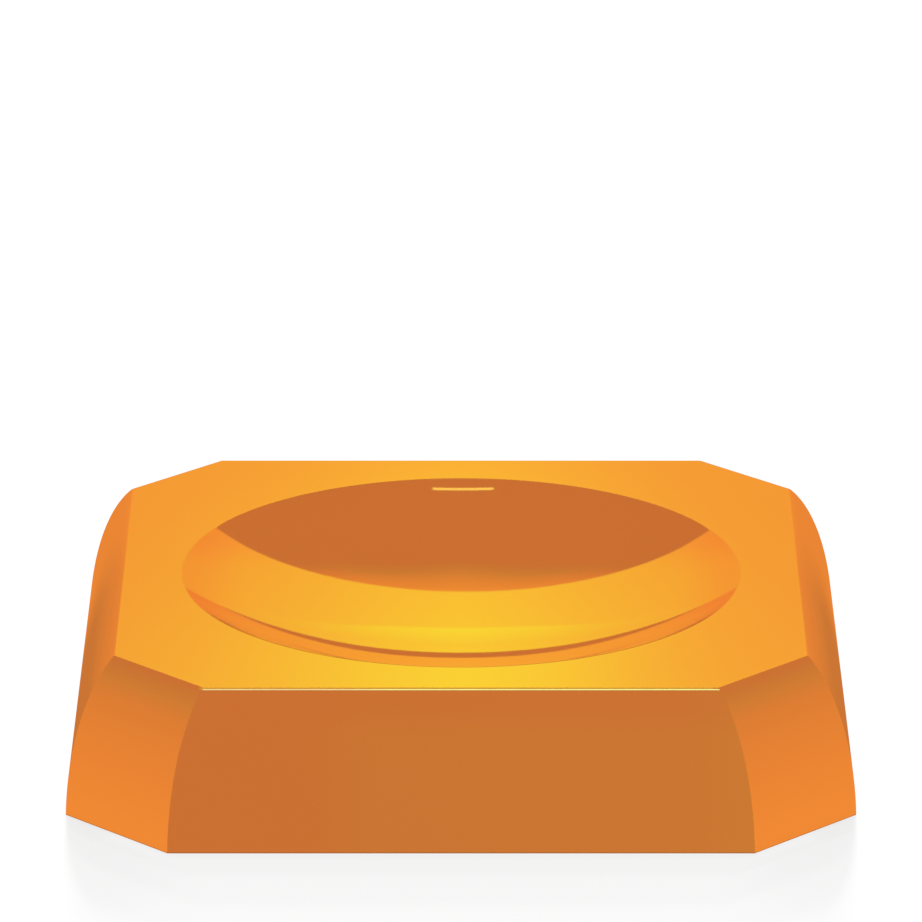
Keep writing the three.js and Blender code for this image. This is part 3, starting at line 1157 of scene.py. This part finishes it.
def strip_lamp(n, right, ahead, up, outer):
    """Strip lamp high up, bounded by slopes from the vertical."""
    upper = n.math("GREATER_THAN", up, 0.5)

    def between(part, rise, fall):
        slope = n.div(part, n.max(up, 0.05))
        return n.mul(n.smooth(slope, over=rise), n.smooth(slope, over=fall, to=(1.0, 0.0)))

    depth = between(ahead, rise=(0.1612, 0.1684), fall=(0.1835, 0.1900))
    strip = n.mul(depth, between(right, rise=(-0.0975, -0.0930), fall=(0.0809, 0.085)))
    return n.mul(n.mul(strip, upper), outer)


def reflected_studio(n, path):
    """Colour that glossy rays see."""
    right, ahead, up, sin_camera = studio_direction(n)
    elevation = n.mul(n.math("ARCSINE", up), 180 / math.pi)
    azimuth = n.mul(n.math("ARCTAN2", right, ahead), 180 / math.pi)
    # 1 for a first reflection, 0 for the inner ones after it
    outer = n.math("LESS_THAN", path.outputs["Glossy Depth"], 1.5)

    # large soft panel behind the object, fading under the horizon
    edge = panel_edge(n, right, sin_camera, outer)
    disc = n.smooth(n.sub(ahead, edge), over=(0.0, 0.005))
    fade = n.ramp(n.linear(elevation, over=(-30, 60)),
                  [(0.0, 0.58), (0.133, 0.63), (0.244, 0.66), (0.289, 0.72), (0.344, 0.90),
                   (0.378, 1.0), (1.0, 1.0)])
    panel = n.mul(disc, fade)
    aside = n.abs(right)
    halo_red, halo_green = panel_halo(n, aside, ahead, edge, outer)
    band = yellow_band(n, azimuth, elevation, disc, outer)
    side_red, side_green = side_panels(n, right, up)
    # the panel is less yellow towards its sides
    panel_green = n.mul(panel, n.smooth(n.abs(azimuth), over=(19.0, 32.0), to=(1.0, 0.68)))
    red = n.max(n.max(panel, halo_red), side_red)
    green = n.add(n.max(n.max(panel_green, halo_green), side_green), band)
    # inner reflections are a little yellower off centre and dimmer at the sides
    inner = n.one_minus(outer)
    more = n.ramp(aside, [(0.0, 0.0), (0.10, 0.07), (0.17, 0.18), (0.215, 0.26), (0.255, 0.22),
                          (0.31, 0.12), (0.4, 0.1)])
    green = n.mul(green, n.mul_add(inner, more, 1.0))
    loss = n.mul(inner, n.smooth(aside, over=(0.24, 0.31), to=(0.0, 0.06)))
    red = n.mul(red, n.one_minus(loss))
    strip = strip_lamp(n, right, ahead, up, outer)
    return n.combine(n.mul_add(strip, 1.3, red), n.mul_add(strip, 1.5, green),
                     n.mul_add(strip, 38.0, n.max(panel, side_red)))


def build_sky():
    """White light for diffuse rays, the studio for glossy rays, a white backdrop for the camera."""
    world = bpy.data.worlds.new("studio")
    scene.world = world
    world.use_nodes = True
    n = Nodes(world.node_tree)

    def background(colour, strength):
        node = n.new("ShaderNodeBackground")
        n.put(node.inputs["Color"], colour)
        node.inputs["Strength"].default_value = strength
        return node.outputs[0]

    path = n.new("ShaderNodeLightPath")
    studio = background(reflected_studio(n, path), strength=1.0)
    soft = background((1, 1, 1, 1), strength=1.0)
    backdrop = background((1, 1, 1, 1), strength=1.05)
    seen = n.mix(path.outputs["Is Glossy Ray"], soft, studio)
    n.out(n.mix(path.outputs["Is Camera Ray"], seen, backdrop), "ShaderNodeOutputWorld")
    world.cycles.sampling_method = "NONE"


build_sky()

# ------------------------------------------------------------------ camera

CAMERA_ELEVATION = 19.678              # degrees above the deck centre
AIM_ABOVE = 0.7374847137               # degrees it aims above the deck centre
CAMERA_DISTANCE = 25.06 * float(half_width(H))


def build_camera():
    """Camera in front, aimed a little high so that the object sits low in the frame."""
    data = bpy.data.cameras.new("camera")
    ob = bpy.data.objects.new("camera", data)
    scene.collection.objects.link(ob)
    scene.camera = ob
    data.sensor_width = 36.0
    data.lens = 330.14577
    elevation = math.radians(CAMERA_ELEVATION)
    aim = math.radians(CAMERA_ELEVATION - AIM_ABOVE)
    ob.location = (0, -CAMERA_DISTANCE * math.cos(elevation),
                   H + CAMERA_DISTANCE * math.sin(elevation))
    ob.rotation_mode = "QUATERNION"
    look = Vector((0, math.cos(aim), -math.sin(aim)))
    ob.rotation_quaternion = look.to_track_quat("-Z", "Y")
    data.clip_start, data.clip_end = 0.05, 50
    return ob


# the lamps keep to the camera's heading
turn = rig.constraints.new("COPY_ROTATION")
turn.target = build_camera()
turn.use_x = turn.use_y = False

bpy.context.view_layer.update()
